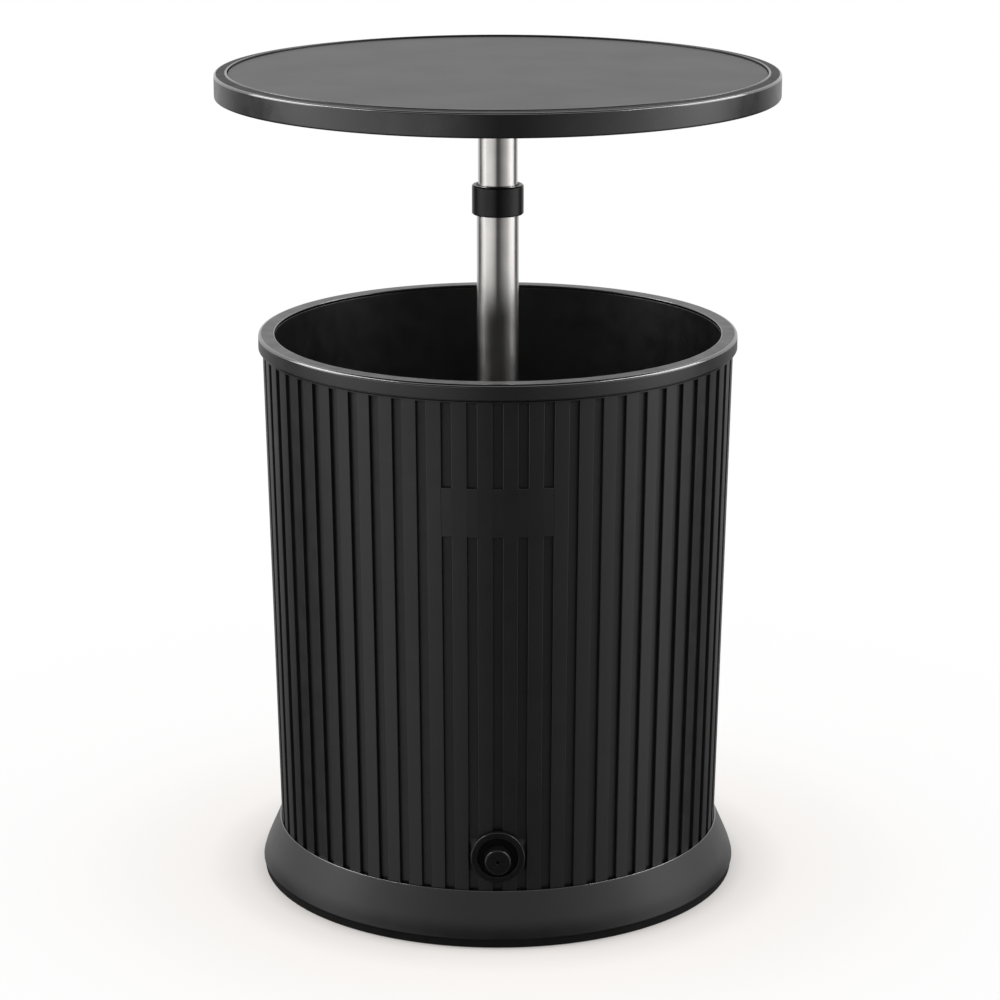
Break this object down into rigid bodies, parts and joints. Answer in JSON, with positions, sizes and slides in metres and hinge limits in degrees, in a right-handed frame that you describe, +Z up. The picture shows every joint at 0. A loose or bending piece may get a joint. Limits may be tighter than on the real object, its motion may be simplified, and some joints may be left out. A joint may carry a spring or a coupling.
{
  "type": "cooler table with lid",
  "caption": "Round insulated tub on a flared foot with upright flutes and a front drain; its round table top slides down a telescoping column and closes the tub as its lid.",
  "frame": {"origin": "centre of the foot ring, on the floor", "axes": "+Z up along the column; the drain and the bare panel face -Y"},
  "size_m": [0.5659, 0.566, 0.84],
  "materials": {
    "shell_plastic": "fine satin grain, dark grey",
    "rim_plastic": "satin, dark grey",
    "liner_plastic": "smooth satin, near black",
    "base_plastic": "satin, dark grey",
    "foot_rubber": "matt black",
    "foam": "open cream foam",
    "column_plastic": "satin black",
    "tube_steel": "polished with faint draw lines",
    "screw_steel": "zinc plated",
    "seal_rubber": "soft matt black",
    "table_plastic": "satin, dark grey",
    "inlay_plastic": "fine leathery grain, mid grey",
    "drain_plastic": "satin, near black"
  },
  "bodies": {
    "tub": {"outer_shell": "shell_plastic", "inner_liner": "liner_plastic", "rim_ring": "rim_plastic", "wall_foam": "foam", "floor_foam": "foam", "base_skirt": "base_plastic", "base_pan": "base_plastic", "foot_ring": "foot_rubber", "base_screws": "screw_steel", "drain_spout": "drain_plastic", "drain_outer_washer": "seal_rubber", "drain_inner_washer": "seal_rubber", "drain_nut": "drain_plastic", "column_socket": "column_plastic", "socket_gasket": "seal_rubber", "socket_screws": "screw_steel", "lower_collet": "column_plastic"},
    "drain_plug": {"drain_plug": "drain_plastic", "drain_plug_ring": "seal_rubber"},
    "lower_collar": {"lower_collar": "column_plastic"},
    "lower_column": {"lower_tube": "tube_steel", "lower_tube_glide": "column_plastic", "upper_sleeve": "column_plastic", "upper_collet": "column_plastic"},
    "upper_collar": {"upper_collar": "column_plastic"},
    "table": {"upper_tube": "tube_steel", "upper_tube_glide": "column_plastic", "table_hub": "table_plastic", "hub_screws": "screw_steel", "hub_bolt": "screw_steel", "hub_nut": "screw_steel", "table_body": "table_plastic", "table_brace": "table_plastic", "lid_ring": "table_plastic", "table_inlay": "inlay_plastic", "lid_seal": "seal_rubber"}
  },
  "joints": [
    {"name": "lower_column_slide", "type": "slide", "parent": "tub", "child": "lower_column", "axis": [0, 0, -1], "range_m": [0, 0.18]},
    {"name": "table_slide", "type": "slide", "parent": "lower_column", "child": "table", "axis": [0, 0, -1], "range_m": [0, 0.065]},
    {"name": "lower_collar_twist", "type": "hinge", "parent": "tub", "child": "lower_collar", "pos_m": [0, 0, 0.384], "axis": [0, 0, 1], "range_deg": [0, 90]},
    {"name": "upper_collar_twist", "type": "hinge", "parent": "lower_column", "child": "upper_collar", "pos_m": [0, 0, 0.709], "axis": [0, 0, 1], "range_deg": [0, 90]},
    {"name": "drain_plug_slide", "type": "slide", "parent": "tub", "child": "drain_plug", "axis": [0, -1, 0], "range_m": [0, 0.04]}
  ]
}
